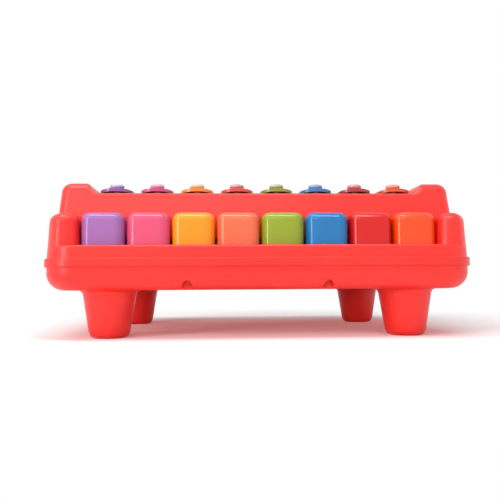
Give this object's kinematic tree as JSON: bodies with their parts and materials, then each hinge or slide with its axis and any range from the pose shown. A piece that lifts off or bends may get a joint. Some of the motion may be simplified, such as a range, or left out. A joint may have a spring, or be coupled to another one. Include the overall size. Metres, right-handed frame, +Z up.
{
  "type": "toy xylophone",
  "caption": "Toy xylophone on four legs, with coloured metal bars in a raised bed and piano keys in front whose levers swing hammers up under the bars.",
  "frame": {"origin": "middle of the floor rectangle under the four feet, at floor level", "axes": "+X to the player's right along the keys, +Y from the keys to the back, +Z up"},
  "size_m": [0.3206, 0.224, 0.1215],
  "materials": {
    "casing_plastic": "satin red moulded plastic",
    "frame_plastic": "plain white moulded plastic",
    "peg_plastic": "pearl white moulded plastic",
    "felt": "pressed grey wool felt",
    "steel": "drawn bright steel",
    "spring_steel": "rolled spring strip",
    "screw_steel": "zinc plated",
    "key_purple": "glossy purple moulded plastic",
    "key_pink": "glossy pink moulded plastic",
    "key_yellow": "glossy yellow moulded plastic",
    "key_coral": "glossy coral moulded plastic",
    "key_green": "glossy green moulded plastic",
    "key_blue": "glossy blue moulded plastic",
    "key_red": "glossy red moulded plastic",
    "key_orange": "glossy orange moulded plastic",
    "bar_purple": "glossy purple enamel on steel plate",
    "bar_pink": "glossy pink enamel on steel plate",
    "bar_yellow": "glossy yellow enamel on steel plate",
    "bar_coral": "glossy coral enamel on steel plate",
    "bar_green": "glossy green enamel on steel plate",
    "bar_blue": "glossy blue enamel on steel plate",
    "bar_red": "glossy red enamel on steel plate",
    "bar_orange": "glossy orange enamel on steel plate"
  },
  "bodies": {
    "root": {"lower_shell": "casing_plastic", "upper_shell": "casing_plastic", "front_pegs": "peg_plastic", "rear_pegs": "peg_plastic", "front_bar_felt": "felt", "rear_bar_felt": "felt", "key_rod": "steel", "hammer_rod": "steel", "action_frame": "frame_plastic", "key_stop_felt": "felt", "key_rest_felt": "felt", "hammer_rest_felt": "felt", "casing_screws": "screw_steel", "frame_screws": "screw_steel", "bar_1": "bar_purple", "key_spring_1": "spring_steel", "bar_2": "bar_pink", "key_spring_2": "spring_steel", "bar_3": "bar_yellow", "key_spring_3": "spring_steel", "bar_4": "bar_coral", "key_spring_4": "spring_steel", "bar_5": "bar_green", "key_spring_5": "spring_steel", "bar_6": "bar_blue", "key_spring_6": "spring_steel", "bar_7": "bar_red", "key_spring_7": "spring_steel", "bar_8": "bar_orange", "key_spring_8": "spring_steel"},
    "key_1": {"key_1": "key_purple"},
    "hammer_1": {"hammer_1": "frame_plastic"},
    "key_2": {"key_2": "key_pink"},
    "hammer_2": {"hammer_2": "frame_plastic"},
    "key_3": {"key_3": "key_yellow"},
    "hammer_3": {"hammer_3": "frame_plastic"},
    "key_4": {"key_4": "key_coral"},
    "hammer_4": {"hammer_4": "frame_plastic"},
    "key_5": {"key_5": "key_green"},
    "hammer_5": {"hammer_5": "frame_plastic"},
    "key_6": {"key_6": "key_blue"},
    "hammer_6": {"hammer_6": "frame_plastic"},
    "key_7": {"key_7": "key_red"},
    "hammer_7": {"hammer_7": "frame_plastic"},
    "key_8": {"key_8": "key_orange"},
    "hammer_8": {"hammer_8": "frame_plastic"}
  },
  "joints": [
    {"name": "key_1_press", "type": "hinge", "parent": "root", "child": "key_1", "pos_m": [-0.11602, -0.028, 0.0664], "axis": [1, 0, 0], "range_deg": [0, 4.27], "stiffness_Nm_per_rad": 0.15, "springref_deg": -14.32, "deforming": ["key_spring_1"]},
    {"name": "hammer_1_swing", "type": "hinge", "parent": "root", "child": "hammer_1", "pos_m": [-0.1127, 0.04401, 0.0844], "axis": [1, 0, 0], "range_deg": [-11.64, 0]},
    {"name": "key_2_press", "type": "hinge", "parent": "root", "child": "key_2", "pos_m": [-0.08288, -0.028, 0.0664], "axis": [1, 0, 0], "range_deg": [0, 4.27], "stiffness_Nm_per_rad": 0.15, "springref_deg": -14.32, "deforming": ["key_spring_2"]},
    {"name": "hammer_2_swing", "type": "hinge", "parent": "root", "child": "hammer_2", "pos_m": [-0.0805, 0.04401, 0.0844], "axis": [1, 0, 0], "range_deg": [-11.64, 0]},
    {"name": "key_3_press", "type": "hinge", "parent": "root", "child": "key_3", "pos_m": [-0.04972, -0.028, 0.0664], "axis": [1, 0, 0], "range_deg": [0, 4.27], "stiffness_Nm_per_rad": 0.15, "springref_deg": -14.32, "deforming": ["key_spring_3"]},
    {"name": "hammer_3_swing", "type": "hinge", "parent": "root", "child": "hammer_3", "pos_m": [-0.0483, 0.04401, 0.0844], "axis": [1, 0, 0], "range_deg": [-11.64, 0]},
    {"name": "key_4_press", "type": "hinge", "parent": "root", "child": "key_4", "pos_m": [-0.01657, -0.028, 0.0664], "axis": [1, 0, 0], "range_deg": [0, 4.27], "stiffness_Nm_per_rad": 0.15, "springref_deg": -14.32, "deforming": ["key_spring_4"]},
    {"name": "hammer_4_swing", "type": "hinge", "parent": "root", "child": "hammer_4", "pos_m": [-0.0161, 0.04401, 0.0844], "axis": [1, 0, 0], "range_deg": [-11.64, 0]},
    {"name": "key_5_press", "type": "hinge", "parent": "root", "child": "key_5", "pos_m": [0.01657, -0.028, 0.0664], "axis": [1, 0, 0], "range_deg": [0, 4.27], "stiffness_Nm_per_rad": 0.15, "springref_deg": -14.32, "deforming": ["key_spring_5"]},
    {"name": "hammer_5_swing", "type": "hinge", "parent": "root", "child": "hammer_5", "pos_m": [0.0161, 0.04401, 0.0844], "axis": [1, 0, 0], "range_deg": [-11.64, 0]},
    {"name": "key_6_press", "type": "hinge", "parent": "root", "child": "key_6", "pos_m": [0.04972, -0.028, 0.0664], "axis": [1, 0, 0], "range_deg": [0, 4.27], "stiffness_Nm_per_rad": 0.15, "springref_deg": -14.32, "deforming": ["key_spring_6"]},
    {"name": "hammer_6_swing", "type": "hinge", "parent": "root", "child": "hammer_6", "pos_m": [0.0483, 0.04401, 0.0844], "axis": [1, 0, 0], "range_deg": [-11.64, 0]},
    {"name": "key_7_press", "type": "hinge", "parent": "root", "child": "key_7", "pos_m": [0.08288, -0.028, 0.0664], "axis": [1, 0, 0], "range_deg": [0, 4.27], "stiffness_Nm_per_rad": 0.15, "springref_deg": -14.32, "deforming": ["key_spring_7"]},
    {"name": "hammer_7_swing", "type": "hinge", "parent": "root", "child": "hammer_7", "pos_m": [0.0805, 0.04401, 0.0844], "axis": [1, 0, 0], "range_deg": [-11.64, 0]},
    {"name": "key_8_press", "type": "hinge", "parent": "root", "child": "key_8", "pos_m": [0.11602, -0.028, 0.0664], "axis": [1, 0, 0], "range_deg": [0, 4.27], "stiffness_Nm_per_rad": 0.15, "springref_deg": -14.32, "deforming": ["key_spring_8"]},
    {"name": "hammer_8_swing", "type": "hinge", "parent": "root", "child": "hammer_8", "pos_m": [0.1127, 0.04401, 0.0844], "axis": [1, 0, 0], "range_deg": [-11.64, 0]}
  ],
  "couplings": [
    {"joint": "hammer_1_swing", "follows": "key_1_press", "ratio": -2.7162},
    {"joint": "hammer_2_swing", "follows": "key_2_press", "ratio": -2.7162},
    {"joint": "hammer_3_swing", "follows": "key_3_press", "ratio": -2.7162},
    {"joint": "hammer_4_swing", "follows": "key_4_press", "ratio": -2.7162},
    {"joint": "hammer_5_swing", "follows": "key_5_press", "ratio": -2.7162},
    {"joint": "hammer_6_swing", "follows": "key_6_press", "ratio": -2.7162},
    {"joint": "hammer_7_swing", "follows": "key_7_press", "ratio": -2.7162},
    {"joint": "hammer_8_swing", "follows": "key_8_press", "ratio": -2.7162}
  ]
}
